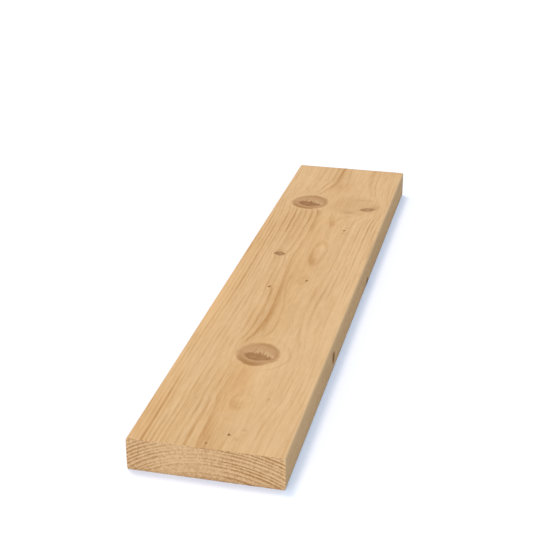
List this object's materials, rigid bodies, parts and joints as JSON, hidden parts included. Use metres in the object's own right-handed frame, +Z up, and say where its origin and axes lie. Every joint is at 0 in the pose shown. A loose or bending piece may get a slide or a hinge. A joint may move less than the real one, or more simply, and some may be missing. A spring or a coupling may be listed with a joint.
{
  "type": "timber plank",
  "caption": "Planed softwood plank of rectangular section with eased long edges and square-cut ends, lying flat, to fix down, span supports or cut to size.",
  "frame": {"origin": "middle of the wide face that the plank lies on", "axes": "+X across the width, +Y along the length and the grain, +Z up through the thickness, out of the bark-side wide face"},
  "size_m": [0.2, 1, 0.045],
  "materials": {
    "planed_softwood": "matte"
  },
  "bodies": {
    "root": {"plank": "planed_softwood"}
  },
  "joints": []
}
